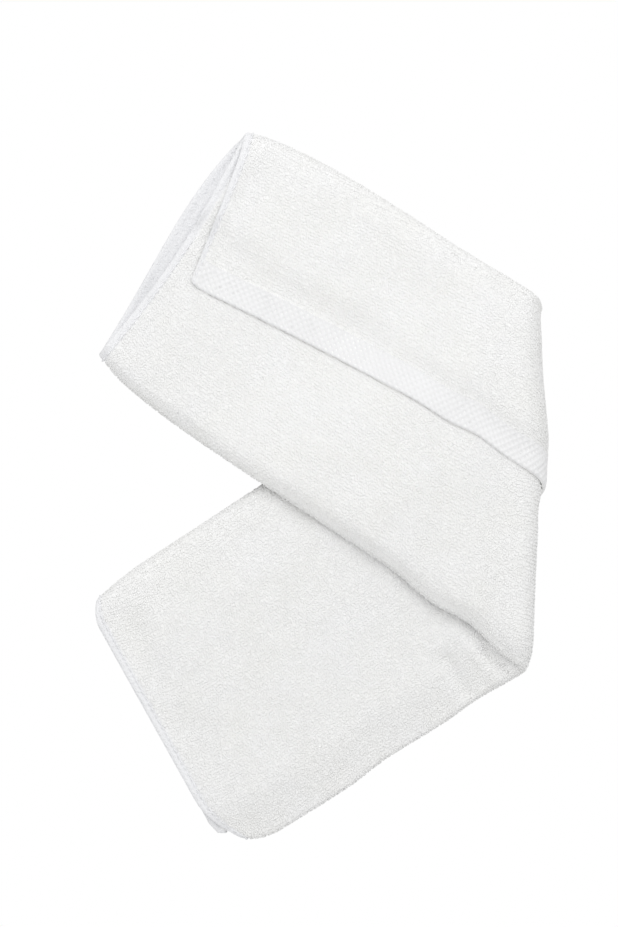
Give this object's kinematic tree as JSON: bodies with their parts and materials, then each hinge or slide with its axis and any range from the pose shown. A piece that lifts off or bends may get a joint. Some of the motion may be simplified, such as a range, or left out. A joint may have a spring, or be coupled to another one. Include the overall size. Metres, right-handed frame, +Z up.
{
  "type": "folded terry hand towel",
  "caption": "Terry hand towel rolled flat into a strip and bent over once, one arm lying across the other in a V.",
  "frame": {"origin": "middle of the towel's footprint, on the surface that it lies on", "axes": "+Z up, +X towards the bend, +Y towards the open end of the upper arm"},
  "size_m": [0.2074, 0.3288, 0.0342],
  "materials": {
    "terry": "white cotton terry, loop pile on both faces, flat woven band and stitched side hems"
  },
  "bodies": {
    "root": {"towel": "terry"}
  },
  "joints": []
}
